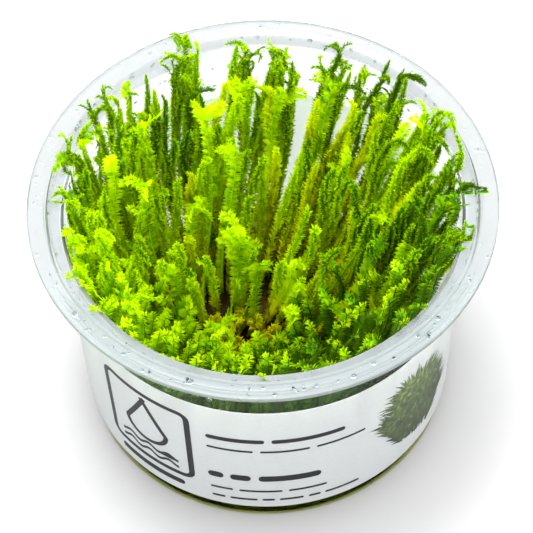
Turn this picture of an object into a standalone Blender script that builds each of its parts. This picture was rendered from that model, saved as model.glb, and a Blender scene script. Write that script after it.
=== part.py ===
"""A clear cup of aquarium moss: a thin turned cup with a flanged rim, a label wrapped round it, a low
layer of growing gel on its floor, and a fan of moss tufts that stands on the gel. Metres, Z up, with the
origin at the middle of the cup's base. The moss is tallest at the back, which is at +Y."""

import math
import random

import bmesh
import bpy
from mathutils import Matrix, Vector

# Driving dimensions of the cup
RIM_RADIUS = 0.0450
CUP_HEIGHT = 0.0563
WALL = 0.0007
WALL_TOP_RADIUS = 0.0388
DRAFT = math.radians(3.0)
FLANGE_THICKNESS = 0.0011
LIP_TOP_RADIUS = 0.0410
LIP_FOOT_RADIUS = 0.0405
LEDGE_DEPTH = 0.00225
CORNER_RADIUS = 0.0020
EDGE_ROUND = 0.0003
CORNER_STEPS = 3
ROUND_SIDES = 60

# The label, and the gap that touching pieces keep
LABEL_BOTTOM = 0.0047
LABEL_TOP = 0.0414
LABEL_THICKNESS = 0.0002
GAP = 0.0003

# The gel
GEL_TOP = 0.0070
GEL_EDGE_ROUND = 0.0012

# The moss: it grows on a small disc of roots and opens like a fan to the wall of the cup
ROOT_CENTRE = Vector((-0.0060, 0.0000))
ROOT_RADIUS = 0.0215
CROWN_RADIUS = 0.0394

# How high the shoots reach, as shares of the way from the gel to the rim
FRONT_REACH = 0.98
BACK_REACH = 1.10
HEART_REACH = 0.26
BOWL_RADIUS = 0.85
BOWL_POWER = 2.2
REACH_SPREAD = 0.045
TRUNK_SHARE = 0.30

# A shoot is two lengths and a tip: for each length its share of the height, and its width beside the
# shoot's own square of the tuft, in which it leans to a side and outwards
SHOOT_LENGTHS = ((0.36, 0.78), (0.34, 0.52))
OUTWARD_LEAN = (0.4, 1)
SEED = 11

# Rings of tufts: name, number, inner and outer radius in the disc of roots, shoots round and outwards
RINGS = (
    ("heart", 4, 0.07, 0.27, 3, 2),
    ("middle", 11, 0.27, 0.58, 3, 2),
    ("rim", 20, 0.58, 0.98, 3, 3),
)


def clear_scene():
    for thing in list(bpy.data.objects):
        bpy.data.objects.remove(thing, do_unlink=True)


def material(name, colour, roughness, transmission=0.0):
    made = bpy.data.materials.new(name)
    made.use_nodes = True
    shader = made.node_tree.nodes["Principled BSDF"]
    shader.inputs["Base Color"].default_value = (*colour, 1)
    shader.inputs["Roughness"].default_value = roughness
    shader.inputs["Metallic"].default_value = 0
    shader.inputs["Transmission Weight"].default_value = transmission
    return made


def add_object(name, bm, finish):
    mesh = bpy.data.meshes.new(name)
    bm.to_mesh(mesh)
    bm.free()
    mesh.materials.append(finish)
    mesh.shade_smooth()
    mesh.set_sharp_from_angle(angle=math.radians(35))
    made = bpy.data.objects.new(name, mesh)
    bpy.context.scene.collection.objects.link(made)
    return made


def turned(name, profile, finish, ring=False):
    """A body turned about Z. Its profile runs from axis to axis, or for a ring back to its own start."""
    bm = bmesh.new()
    points = [bm.verts.new((radius, 0, height)) for radius, height in profile]
    pairs = list(zip(points, points[1:]))
    if ring:
        pairs.append((points[-1], points[0]))
    edges = [bm.edges.new(pair) for pair in pairs]
    bmesh.ops.spin(
        bm, geom=points + edges, cent=(0, 0, 0), axis=(0, 0, 1),
        angle=math.tau, steps=ROUND_SIDES, use_merge=True,
    )
    bmesh.ops.remove_doubles(bm, verts=bm.verts[:], dist=1e-6)
    bmesh.ops.recalc_face_normals(bm, faces=bm.faces[:])
    return add_object(name, bm, finish)


def wall_radius(height):
    """Outer radius of the drafted wall at a height."""
    return WALL_TOP_RADIUS - math.tan(DRAFT) * (CUP_HEIGHT - LEDGE_DEPTH - height)


def corner(inset, floor):
    """The round corner from the wall down to the floor, for a surface this far inside the outer one."""
    radius = CORNER_RADIUS - WALL if inset else CORNER_RADIUS
    side = wall_radius(CORNER_RADIUS) - inset - radius
    turns = [0.25 * math.tau * step / CORNER_STEPS for step in range(CORNER_STEPS + 1)]
    return [(side + radius * math.cos(a), floor + radius * (1 - math.sin(a))) for a in turns]


def make_cup(finish):
    under = CUP_HEIGHT - FLANGE_THICKNESS
    ledge = CUP_HEIGHT - LEDGE_DEPTH
    inside = [(0, WALL)] + corner(WALL, WALL)[::-1]
    lip_inside = [
        (WALL_TOP_RADIUS - WALL, ledge),
        (LIP_FOOT_RADIUS, ledge),
        (LIP_TOP_RADIUS, CUP_HEIGHT),
    ]
    flange_edge = [
        (RIM_RADIUS - EDGE_ROUND, CUP_HEIGHT),
        (RIM_RADIUS, CUP_HEIGHT - EDGE_ROUND),
        (RIM_RADIUS, under + EDGE_ROUND),
        (RIM_RADIUS - EDGE_ROUND, under),
    ]
    lip_outside = [
        (LIP_TOP_RADIUS + WALL, under),
        (LIP_FOOT_RADIUS + WALL, ledge - WALL),
        (WALL_TOP_RADIUS, ledge - WALL),
    ]
    outside = corner(0, 0) + [(0, 0)]
    return turned("cup", inside + lip_inside + flange_edge + lip_outside + outside, finish)


def make_label(finish):
    profile = []
    for height, stand_off in (
        (LABEL_TOP, GAP + LABEL_THICKNESS),
        (LABEL_BOTTOM, GAP + LABEL_THICKNESS),
        (LABEL_BOTTOM, GAP),
        (LABEL_TOP, GAP),
    ):
        profile.append((wall_radius(height) + stand_off, height))
    return turned("label", profile, finish, ring=True)


def make_gel(finish):
    floor = WALL + GAP
    top_radius = wall_radius(GEL_TOP) - WALL - GAP
    edge = [(top_radius - GEL_EDGE_ROUND, GEL_TOP), (top_radius, GEL_TOP - GEL_EDGE_ROUND)]
    profile = [(0, GEL_TOP)] + edge + corner(WALL + GAP, floor) + [(0, floor)]
    return turned("growing_gel", profile, finish)


def fan_place(disc, share):
    """Where a shoot is. disc is its place in the disc of roots, share is 0 at the gel and 1 at the rim."""
    root = ROOT_CENTRE + ROOT_RADIUS * disc
    crown = CROWN_RADIUS * disc
    flat = root.lerp(crown, share)
    foot = GEL_TOP + GAP
    return Vector((flat.x, flat.y, foot + share * (CUP_HEIGHT - foot)))


def reach(disc):
    """How high the shoots grow that stand at this place in the disc of roots."""
    distance = disc.length
    backwards = 0.5 + 0.5 * disc.y / distance
    edge = FRONT_REACH + (BACK_REACH - FRONT_REACH) * backwards
    bowl = min(1, distance / BOWL_RADIUS) ** BOWL_POWER
    return HEART_REACH + (edge - HEART_REACH) * bowl


def make_tuft(name, inner, outer, start, end, around, deep, finish, draw):
    """One trunk whose top parts into tapering shoots. It is shaped on a flat grid, whose X runs round the
    disc and Y outwards and whose Z is the share of the way to the rim, and then put in its place."""
    half_gap = 0.6 * GAP / ROOT_RADIUS
    inner += half_gap
    outer -= half_gap

    def disc_at(point):
        distance = inner + (outer - inner) * (point.y + 0.5)
        turn = half_gap / distance
        angle = start + turn + (end - start - 2 * turn) * (point.x + 0.5)
        return distance * Vector((math.cos(angle), math.sin(angle)))

    bm = bmesh.new()
    bmesh.ops.create_grid(bm, x_segments=around, y_segments=deep, size=0.5)
    trunk = TRUNK_SHARE * reach(disc_at(Vector((0, 0))))
    raised = bmesh.ops.extrude_face_region(bm, geom=bm.faces[:])["geom"]
    upper = [part for part in raised if isinstance(part, bmesh.types.BMVert)]
    bmesh.ops.translate(bm, vec=(0, 0, trunk), verts=upper)
    bmesh.ops.recalc_face_normals(bm, faces=bm.faces[:])
    for face in [part for part in raised if isinstance(part, bmesh.types.BMFace)]:
        height = reach(disc_at(face.calc_center_median())) + draw.uniform(-REACH_SPREAD, REACH_SPREAD)
        lean = Vector((draw.uniform(-1, 1) / around, draw.uniform(*OUTWARD_LEAN) / deep))
        below = 1
        for share, width in SHOOT_LENGTHS:
            face = bmesh.ops.extrude_discrete_faces(bm, faces=[face])["faces"][0]
            centre = Matrix.Translation(-face.calc_center_median())
            thinner = width / below
            bmesh.ops.scale(bm, vec=(thinner, thinner, 1), space=centre, verts=face.verts[:])
            aside, outwards = 0.5 * (below - width) * lean
            bmesh.ops.translate(bm, vec=(aside, outwards, share * (height - trunk)), verts=face.verts[:])
            below = width
        tip = bmesh.ops.poke(bm, faces=[face])["verts"][0]
        tip.co.xy += 0.5 * below * lean
        tip.co.z = height
    for point in bm.verts:
        point.co = fan_place(disc_at(point.co), point.co.z)
    bmesh.ops.reverse_faces(bm, faces=bm.faces[:])
    return add_object(name, bm, finish)


def make_moss(finish):
    draw = random.Random(SEED)
    for ring, number, inner, outer, around, deep in RINGS:
        turn = math.tau / number
        for place in range(number):
            name = f"tuft_{ring}_{place + 1:02d}"
            start = place * turn
            make_tuft(name, inner, outer, start, start + turn, around, deep, finish, draw)


clear_scene()
make_cup(material("clear_plastic", (0.90, 0.93, 0.93), 0.12, transmission=0.9))
make_label(material("label_film", (0.80, 0.81, 0.82), 0.45))
make_gel(material("dark_gel", (0.10, 0.09, 0.03), 0.20))
make_moss(material("moss_leaf", (0.18, 0.42, 0.03), 0.60))
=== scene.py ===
"""The looks of a clear cup of aquarium moss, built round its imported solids, in the order in which the real
one is put together: cup, gel, moss, label and its print, water drops, and then the studio it stands in."""

import math

import bmesh
import bpy
import numpy as np
from mathutils import Matrix, Vector, noise


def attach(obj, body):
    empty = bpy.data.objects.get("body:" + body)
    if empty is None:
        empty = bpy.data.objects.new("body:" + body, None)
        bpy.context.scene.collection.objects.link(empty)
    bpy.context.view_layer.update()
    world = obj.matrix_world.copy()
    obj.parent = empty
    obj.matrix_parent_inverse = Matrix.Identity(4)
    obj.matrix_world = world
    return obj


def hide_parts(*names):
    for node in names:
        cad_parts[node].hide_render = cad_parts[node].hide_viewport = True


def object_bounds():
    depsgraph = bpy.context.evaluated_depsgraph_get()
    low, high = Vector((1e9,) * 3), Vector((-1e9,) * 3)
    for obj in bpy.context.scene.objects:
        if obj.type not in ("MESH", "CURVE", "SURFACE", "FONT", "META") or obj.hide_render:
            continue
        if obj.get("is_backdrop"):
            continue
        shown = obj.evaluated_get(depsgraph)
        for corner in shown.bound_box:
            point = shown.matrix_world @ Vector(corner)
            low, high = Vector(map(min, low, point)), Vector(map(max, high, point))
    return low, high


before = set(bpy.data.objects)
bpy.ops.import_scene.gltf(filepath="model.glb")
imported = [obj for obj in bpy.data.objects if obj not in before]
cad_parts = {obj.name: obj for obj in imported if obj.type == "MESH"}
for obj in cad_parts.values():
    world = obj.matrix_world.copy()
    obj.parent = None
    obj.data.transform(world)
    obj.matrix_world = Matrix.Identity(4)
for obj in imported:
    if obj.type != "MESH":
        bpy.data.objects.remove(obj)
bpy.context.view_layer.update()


# The cup: one thin-walled clear plastic moulding, turned about Z, with a drafted wall, a wider mouth and a
# flat flange. Its inside is fogged above the label, where runs of water have cleared streaks.
CUP_HEIGHT = 0.0563
RIM_RADIUS = 0.0450
WALL = 0.0007
DRAFT = math.radians(3)
WALL_TOP_RADIUS = 0.0388
LEDGE = 0.05405
LIP_FOOT = 0.0405
FLANGE_UNDER = 0.0552
EDGE_ROUND = 0.0003
SOFT_EDGE = 0.0002
BASE_CORNER = 0.0011
INNER_CORNER = 0.0004
CUP_STEPS = 192
INSIDE_HEIGHTS = (0.0060, 0.010, 0.020, 0.030, 0.0400, 0.0415, 0.0480, 0.0530)
OUTSIDE_HEIGHTS = (0.0480, 0.0400, 0.0300, 0.0200, 0.0100, 0.0060)
# The flange's upper side with its three fine grooves: radius, and height over the flange
FLANGE_TOP = (
    (0.0410, -0.00008), (0.0412, 0.0), (0.04165, 0.0), (0.0418, -0.00012), (0.0420, -0.00012), (0.0422, 0.0),
    (0.0431, 0.0), (0.04325, -0.00007), (0.0434, 0.0), (0.0437, 0.0), (0.04385, -0.00007), (0.0440, 0.0),
    (0.0447, 0.0), (0.04492, -0.0001), (RIM_RADIUS, -EDGE_ROUND),
)
# Where the finishes meet: the foot and the full height of the fog, the lip's side, the flange's edge, and the
# foot of the wall that the gel wets
FOG_FOOT = 0.0395
FOG_HEIGHTS = (0.0400, 0.0415)
LIP_SIDE = (0.0386, 0.0413)
FLANGE_EDGE = 0.0446
GEL_LINE = 0.0060
FOOT_RADIUS = 0.0335
# How far from the front of the cup the darker haze reaches, painted shade on the front of the rim
FRONT_SHADE_REACH = (-0.040, -0.010)


def wall_radius(height):
    """Outer radius of the wall at a height."""
    return WALL_TOP_RADIUS - math.tan(DRAFT) * (LEDGE - height)


def corner(inset, floor, radius, steps):
    """The round corner from the floor up to the wall, for a surface this far inside the outer one."""
    side = wall_radius(BASE_CORNER) - inset - radius
    turns = np.linspace(0, math.tau / 4, steps)
    return [(side + radius * math.sin(a), floor + radius * (1 - math.cos(a))) for a in turns]


class Link:
    """An output of a material's nodes. Arithmetic on it puts in Math nodes."""

    def __init__(self, finish, socket):
        self.finish = finish
        self.socket = socket

    def math(self, operation, first, second):
        return self.finish.add("ShaderNodeMath", {"operation": operation}, {0: first, 1: second})

    def __add__(self, other):
        return self.math("ADD", self, other)

    def __sub__(self, other):
        return self.math("SUBTRACT", self, other)

    def __rsub__(self, other):
        return self.math("SUBTRACT", other, self)

    def __mul__(self, other):
        return self.math("MULTIPLY", self, other)

    __radd__ = __add__
    __rmul__ = __mul__


class Finish:
    """A material in the making: add() puts in one node, its settings first and then its sockets."""

    def __init__(self, name):
        self.material = bpy.data.materials.new(name)
        self.material.use_nodes = True
        self.nodes = self.material.node_tree.nodes
        self.nodes.clear()
        self.links = self.material.node_tree.links

    def add(self, kind, settings=None, sockets=None, output=0):
        node = self.nodes.new(kind)
        for name, value in (settings or {}).items():
            if name == "stops":
                ramp = node.color_ramp
                while len(ramp.elements) < len(value):
                    ramp.elements.new(0.5)
                for stop, (place, colour) in zip(ramp.elements, value):
                    stop.position = place
                    stop.color = colour
            else:
                setattr(node, name, value)
        for name, value in (sockets or {}).items():
            if isinstance(value, Link):
                self.links.new(value.socket, node.inputs[name])
            else:
                node.inputs[name].default_value = value
        return Link(self, node.outputs[output]) if node.outputs else None

    def place(self):
        """Object coordinates."""
        return self.add("ShaderNodeTexCoord", output="Object")

    def axis(self, letter, where):
        """X, Y or Z of a vector."""
        return self.add("ShaderNodeSeparateXYZ", {}, {0: where}, letter)

    def noise(self, where, scale, detail):
        return self.add("ShaderNodeTexNoise", {}, {"Vector": where, "Scale": scale, "Detail": detail})

    def between(self, value, low, high, first=0.0, last=1.0):
        """A smooth step, from first to last as the value goes from low to high."""
        return self.add(
            "ShaderNodeMapRange", {"interpolation_type": "SMOOTHSTEP"},
            {"Value": value, "From Min": low, "From Max": high, "To Min": first, "To Max": last},
        )

    def ramp(self, value, stops):
        return self.add("ShaderNodeValToRGB", {"stops": stops}, {0: value})

    def mix(self, factor, first, second):
        return self.add("ShaderNodeMix", {"data_type": "RGBA"}, {0: factor, 6: first, 7: second}, 2)

    def bump(self, height, strength, distance):
        return self.add("ShaderNodeBump", {}, {"Height": height, "Strength": strength, "Distance": distance})

    def principled(self, **sockets):
        return self.add(
            "ShaderNodeBsdfPrincipled", {}, {name.replace("_", " "): value for name, value in sockets.items()}
        )

    def translucent(self, colour):
        return self.add("ShaderNodeBsdfTranslucent", {}, {"Color": colour})

    def blend(self, factor, first, second):
        """One shader over another."""
        return self.add("ShaderNodeMixShader", {}, {0: factor, 1: first, 2: second})

    def done(self, shader):
        self.add("ShaderNodeOutputMaterial", {}, {"Surface": shader})
        return self.material


def rgb(red, green, blue):
    """A colour given as 0 to 255 on screen, as the linear values that nodes take."""
    made = [c / 255 for c in (red, green, blue)]
    return (*(c / 12.92 if c <= 0.04045 else ((c + 0.055) / 1.055) ** 2.4 for c in made), 1)


def settle(name, mesh, node=None):
    """Puts a finished mesh in the scene as a piece, and says where it belongs."""
    piece = bpy.data.objects.new(name, mesh)
    bpy.context.scene.collection.objects.link(piece)
    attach(piece, "root")
    if node:
        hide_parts(node)


def put(name, bm, finishes, node=None, smooth_angle=60):
    """Makes a piece from its bmesh, smooth but for its sharper edges."""
    mesh = bpy.data.meshes.new(name)
    bm.to_mesh(mesh)
    bm.free()
    for finish in finishes:
        mesh.materials.append(finish)
    mesh.shade_smooth()
    mesh.set_sharp_from_angle(angle=math.radians(smooth_angle))
    settle(name, mesh, node)


def turned(profile, steps, ring=False):
    """A bmesh turned about Z from (radius, height) points, from axis to axis or back to its start."""
    bm = bmesh.new()
    points = [bm.verts.new((radius, 0, height)) for radius, height in profile]
    edges = [bm.edges.new(pair) for pair in zip(points, points[1:])]
    if ring:
        edges.append(bm.edges.new((points[-1], points[0])))
    bmesh.ops.spin(
        bm, geom=points + edges, cent=(0, 0, 0), axis=(0, 0, 1),
        angle=math.tau, steps=steps, use_merge=True,
    )
    bmesh.ops.remove_doubles(bm, verts=bm.verts[:], dist=1e-6)
    bmesh.ops.recalc_face_normals(bm, faces=bm.faces[:])
    return bm


def plastic_finish(name, index, roughness, milkiness, tint, milk_colour, front_shade_colour, front_haze_and_shade):
    """Clear moulded plastic of this index of refraction and roughness, with a little milk in it, and a damp
    haze on the side to the front, darker than the milk as painted shade."""
    plastic = Finish(name)
    where = plastic.place()
    grain = plastic.noise(where, 300, 3)
    cloud = plastic.noise(where, 60, 2)
    clear = plastic.principled(
        Base_Color=plastic.mix(cloud, (*tint, 1), (*(1.04 * c for c in tint), 1)),
        Roughness=plastic.between(cloud, 0.3, 0.7, 0.6 * roughness, 1.4 * roughness),
        IOR=index, Transmission_Weight=1.0,
    )
    # towards the front the darker haze colour takes over: painted shade
    front = plastic.between(plastic.axis("Y", where), *FRONT_SHADE_REACH, 1.0, 0.0)
    milk = plastic.principled(
        Base_Color=plastic.mix(front, (*milk_colour, 1), (*front_shade_colour, 1)), Roughness=0.35,
        Specular_IOR_Level=0.3,
    )
    cloudy = plastic.between(grain, 0.2, 0.8, 0.75 * milkiness, 1.25 * milkiness)
    return plastic.done(plastic.blend(cloudy + front * front_haze_and_shade, clear, milk))


clear_plastic = plastic_finish(
    "clear_plastic", index=1.06, roughness=0.05, milkiness=0.012, tint=(0.94, 0.97, 0.965),
    milk_colour=(0.62, 0.68, 0.66), front_shade_colour=(0.62, 0.68, 0.66), front_haze_and_shade=0.0,
)
# On the rim and its edge the front haze is a darker grey than the milk: painted shade on the front of the
# flange
rim_plastic = plastic_finish(
    "rim_plastic", index=1.20, roughness=0.16, milkiness=0.05, tint=(0.64, 0.66, 0.67),
    milk_colour=(0.44, 0.50, 0.50), front_shade_colour=(0.27, 0.30, 0.305), front_haze_and_shade=0.55,
)
edge_plastic = plastic_finish(
    "edge_plastic", index=1.30, roughness=0.25, milkiness=0.10, tint=(0.54, 0.57, 0.58),
    milk_colour=(0.42, 0.48, 0.49), front_shade_colour=(0.28, 0.31, 0.315), front_haze_and_shade=0.40,
)

fog = Finish("fogged_plastic")
where = fog.place()
streaks = fog.noise(fog.add("ShaderNodeMapping", {}, {0: where, "Scale": (1, 1, 0.06)}), 260, 1)
specks = fog.add("ShaderNodeTexVoronoi", {}, {"Vector": where, "Scale": 2600})
clear = fog.principled(
    Base_Color=(0.93, 0.97, 0.94, 1), Roughness=fog.between(streaks, 0.40, 0.50, 0.16, 0.03), IOR=1.08,
    Transmission_Weight=1.0, Normal=fog.bump(specks, 0.4, 0.00006),
)
mist = fog.principled(Base_Color=rgb(132, 150, 92), Roughness=0.5)
high_up = fog.between(fog.axis("Z", where), *FOG_HEIGHTS)
misted = fog.between(streaks, 0.43, 0.52, 0.15, 0.02) * high_up * fog.between(specks, 0.1, 0.5, 1.0, 0.4)
fogged_plastic = fog.done(fog.blend(misted, clear, mist))

wetted = Finish("wetted_plastic")
cloud = wetted.noise(wetted.place(), 90, 2)
wetted_plastic = wetted.done(wetted.principled(
    Base_Color=wetted.mix(cloud, (0.80, 0.86, 0.36, 1), (0.86, 0.91, 0.46, 1)),
    Roughness=wetted.between(cloud, 0.3, 0.7, 0.02, 0.08), IOR=1.02, Transmission_Weight=1.0,
))

# The cup's profile, from the middle of its floor up the inside, over the flange and down to its base
floor_inside = [(0, WALL), (0.010, WALL + 0.00003), (0.022, WALL)]
wall_inside = [(wall_radius(height) - WALL, height) for height in INSIDE_HEIGHTS]
ledge = [
    (WALL_TOP_RADIUS - WALL, LEDGE - SOFT_EDGE), (WALL_TOP_RADIUS - WALL + EDGE_ROUND, LEDGE),
    (LIP_FOOT - EDGE_ROUND, LEDGE), (LIP_FOOT, LEDGE + SOFT_EDGE),
]
flange_top = [(radius, CUP_HEIGHT + lift) for radius, lift in FLANGE_TOP]
flange_under = [
    (RIM_RADIUS, FLANGE_UNDER + EDGE_ROUND), (RIM_RADIUS - EDGE_ROUND, FLANGE_UNDER),
    (0.0444, FLANGE_UNDER + 0.0001), (0.0418, FLANGE_UNDER), (0.0415, FLANGE_UNDER - SOFT_EDGE),
]
ledge_under = [
    (LIP_FOOT + WALL, LEDGE - WALL), (WALL_TOP_RADIUS + SOFT_EDGE, LEDGE - WALL),
    (WALL_TOP_RADIUS, LEDGE - WALL - SOFT_EDGE),
]
wall_outside = [(wall_radius(height), height) for height in OUTSIDE_HEIGHTS]
base_groove = [(0.0300, 0.0), (0.0292, 0.00035), (0.0284, 0.0), (0, 0)]
inside = floor_inside + corner(WALL, WALL, INNER_CORNER, 5) + wall_inside + ledge
outside = ledge_under + wall_outside + corner(0, 0, BASE_CORNER, 9)[::-1] + base_groove
bm = turned(inside + flange_top + flange_under + outside, CUP_STEPS)
cup_finishes = [clear_plastic, fogged_plastic, rim_plastic, edge_plastic, wetted_plastic]
for face in bm.faces:
    centre = face.calc_center_median()
    radius = centre.xy.length
    faces_in = face.normal.xy.dot(centre.xy) < -0.5 * radius
    at_lip = LIP_SIDE[0] < radius < LIP_SIDE[1] and LEDGE - WALL - 0.0001 < centre.z < CUP_HEIGHT - 0.0010
    finish = clear_plastic
    if faces_in and FOG_FOOT < centre.z < LEDGE - SOFT_EDGE:
        finish = fogged_plastic
    elif at_lip or radius > FLANGE_EDGE:
        finish = edge_plastic
    elif centre.z > LEDGE - WALL:
        finish = rim_plastic
    elif centre.z < GEL_LINE and radius > FOOT_RADIUS:
        finish = wetted_plastic
    face.material_index = cup_finishes.index(finish)
put("clear_cup", bm, cup_finishes, "cup", smooth_angle=35)


# The growing gel: a low bed of clear nutrient gel on the cup's floor, browned by the moss that roots in it,
# wet and lumpy on top. Seen through the foot of the cup it is a dark olive band.
GEL_TOP = 0.0070
GEL_FLOOR = WALL + 0.00006
GEL_SHOULDER = 0.0010
GEL_CORNER = 0.0012
GEL_RINGS = 26
LUMP_SCALE = 160
LUMP_HEIGHT = 0.0012

gel = Finish("dark_gel")
where = gel.place()
lumps = gel.noise(where, 420, 4)
stain = gel.noise(where, 130, 3)
wet_gel = gel.done(gel.principled(
    Base_Color=gel.ramp(stain * 0.6 + lumps * 0.4, (
        (0.30, rgb(12, 6, 1)), (0.46, rgb(26, 16, 3)), (0.60, rgb(52, 38, 5)), (0.75, rgb(98, 76, 12)),
    )),
    Roughness=gel.between(lumps, 0.35, 0.65, 0.15, 0.40), Specular_IOR_Level=0.03,
    Normal=gel.bump(lumps, 0.3, 0.0006),
))

side = Finish("gel_side")
stain = side.noise(side.place(), 160, 3)
gel_behind_wall = side.done(side.principled(
    Base_Color=side.mix(side.between(stain, 0.35, 0.65), rgb(26, 34, 0), rgb(40, 48, 4)),
    Roughness=side.between(stain, 0.3, 0.7, 0.5, 0.7), Specular_IOR_Level=0.0,
))


def gel_edge(height):
    """Radius of the gel at a height, a hair inside the wall."""
    return wall_radius(height) - WALL - 0.00003


gel_radius = gel_edge(GEL_TOP)
bm = turned(
    [(gel_radius * ring / GEL_RINGS, GEL_TOP) for ring in range(GEL_RINGS - 1)]
    + [(gel_radius - 0.0008, GEL_TOP - 0.0002), (gel_radius, GEL_TOP - GEL_SHOULDER)]
    + [(gel_edge(0.0040), 0.0040), (gel_edge(GEL_CORNER), GEL_CORNER)]
    + [(wall_radius(GEL_CORNER) - WALL - INNER_CORNER, GEL_FLOOR), (0.0334, GEL_FLOOR), (0, GEL_FLOOR)],
    120,
)
for point in bm.verts:
    inside = 1 - min(1, point.co.xy.length / gel_radius) ** 6
    if point.co.z > GEL_TOP - 0.0004:
        swell = noise.fractal(point.co * LUMP_SCALE, 1.0, 2.0, 3)
        point.co.z += inside * LUMP_HEIGHT * (swell - 0.5)
for face in bm.faces:
    centre = face.calc_center_median()
    behind_wall = centre.xy.length > FOOT_RADIUS and centre.z < GEL_TOP - GEL_SHOULDER - 0.0001
    face.material_index = 1 if behind_wall else 0
put("gel_bed", bm, [wet_gel, gel_behind_wall], "growing_gel")


# The moss: nearly six hundred shoots that root in the gel on a small disc and open like a fan to the wall,
# some with twigs near their tops. A shoot is a thin stem set with curved pointed leaves, and it yellows and
# browns towards its foot.
ROOT_CENTRE = np.array([-0.0060, 0.0000])
ROOT_RADIUS = 0.0215
CROWN_RADIUS = 0.0394
FOOT = GEL_TOP + 0.0003
RISE = CUP_HEIGHT - FOOT
# Rings of tufts: how many, inner and outer radius in the disc of roots, and tips round and outwards in each
RINGS = {
    "heart": (4, 0.07, 0.27, 3, 2),
    "middle": (11, 0.27, 0.58, 3, 2),
    "rim": (20, 0.58, 0.98, 3, 3),
}
PATH_STEPS = 24
STEM_STEP = 0.0022
STEM_SIDE = (0.3, 1.0, 0.1)
STEM_THICK = 0.00028
TWIG_THICK = 0.00014
# The room that the moss has in the cup: the outer radius at each height, and its lowest point
ROOM = np.array([
    (0, wall_radius(0)), (0.002, wall_radius(0.002)), (LEDGE, WALL_TOP_RADIUS), (LEDGE + 0.0002, 0.0411),
    (CUP_HEIGHT, 0.0416), (CUP_HEIGHT + 0.0003, 0.06), (1, 0.06),
])
LOWEST = 0.0022
# How a leaf stands off its stem: from one leaf of a rope to the next it turns by TURN, and on a frond it lies
# flat in the comb by ROLL
TURN = 2.49
ROLL = 1.25
ROPE_SPREAD = (0.62, 0.80)
FROND_SPREAD = (0.75, 0.95)
# By the distance to the end of the shoot: how far the leaves open, how long they are, and how long they are
# on a slender shoot
OPENING = ([0, 0.0004, 0.0014], [0.32, 0.68, 1.0])
LENGTHS = ([0, 0.0006, 0.0018], [0.56, 0.82, 1.0])
SLENDER = ([0, 0.003, 0.008], [0.66, 0.80, 1.0])
# Farther than this from its end a shoot has old leaves, half as many
OLD_FROM = 0.022
# How much lighter a leaf gets from its foot to its tip, painted shade by the stem and a painted highlight at
# the tip, and how much of that is left on a frond
LEAF_SHADE_TO_HIGHLIGHT = ([0, 0.5, 0.75, 1], [-0.42, -0.30, 0.06, 0.50])
FROND_SHADE_TO_HIGHLIGHT = 0.4
TONE_SPREAD = 0.16
draw = np.random.default_rng(20)


def fan_place(disc, share):
    """Points of shoots: disc is their place in the disc of roots, share is 0 at the gel and 1 at the rim."""
    share = np.asarray(share)[..., None]
    flat = (ROOT_CENTRE + ROOT_RADIUS * disc) * (1 - share) + CROWN_RADIUS * disc * share
    return np.concatenate([flat, FOOT + share * RISE], axis=-1)


def disc_of(point):
    """The place in the disc of roots, and the share of the way to the rim, of a point of the moss."""
    share = (point[2] - FOOT) / RISE
    return (point[:2] - ROOT_CENTRE * (1 - share)) / (ROOT_RADIUS * (1 - share) + CROWN_RADIUS * share), share


def solid_tips(node):
    """The tips of a tuft's solid: its corners that stand higher than all their neighbours."""
    mesh = node.data
    corners = np.array([vertex.co for vertex in mesh.vertices])
    places, index = np.unique(np.round(corners, 6), axis=0, return_inverse=True)
    index = index.reshape(-1)
    highest = np.full(len(places), -1.0)
    for polygon in mesh.polygons:
        around = [index[i] for i in polygon.vertices]
        for one in around:
            for other in around:
                if other != one:
                    highest[one] = max(highest[one], places[other][2])
    return [place for place, neighbour in zip(places, highest) if place[2] > neighbour + 1e-5]


def leaf_shape(rows):
    """One leaf, a unit long along Y, from its foot to its tip. Each row between them is how far along it is,
    half its width, and how far it is bent to the side and up; the last row is the tip. Returns the corners
    and the three-sided faces."""
    bm = bmesh.new()
    bmesh.ops.create_grid(bm, x_segments=1, y_segments=len(rows), size=0.5)
    for point in bm.verts:
        step = round((point.co.y + 0.5) * len(rows))
        along, half_width, aside, lift = rows[step - 1] if step else (0, 0, 0, 0)
        point.co = (aside + math.copysign(half_width, point.co.x), along, lift)
    bmesh.ops.remove_doubles(bm, verts=bm.verts[:], dist=1e-6)
    bmesh.ops.triangulate(bm, faces=bm.faces[:])
    bmesh.ops.recalc_face_normals(bm, faces=bm.faces[:])
    if sum(face.normal.z for face in bm.faces) < 0:
        bmesh.ops.reverse_faces(bm, faces=bm.faces[:])
    return corners_and_faces(bm)


def corners_and_faces(bm):
    """The corners and the three-sided faces of a small shape that is repeated."""
    bm.verts.index_update()
    points = np.array([point.co for point in bm.verts])
    faces = np.array([[point.index for point in face.verts] for face in bm.faces])
    bm.free()
    return points, faces


ROPE_LEAF = leaf_shape([(0.34, 0.22, 0.0, -0.03), (0.70, 0.13, 0.0, 0.03), (1.0, 0.0, 0.0, 0.24)])
COMB_LEAF = leaf_shape([(0.45, 0.24, 0.0, 0.0), (0.74, 0.13, 0.06, 0.04), (1.0, 0.0, 0.32, 0.12)])
OLD_LEAF = leaf_shape([(0.45, 0.26, 0.0, 0.0), (1.0, 0.0, 0.0, 0.16)])


def evenly(path, spacing):
    """The path with even steps, and its length."""
    runs = np.concatenate([[0], np.cumsum(np.linalg.norm(np.diff(path, axis=0), axis=1))])
    count = max(3, int(runs[-1] / spacing) + 1)
    marks = np.linspace(0, runs[-1], count)
    return np.stack([np.interp(marks, runs, path[:, k]) for k in range(3)], axis=1), runs[-1]


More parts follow.
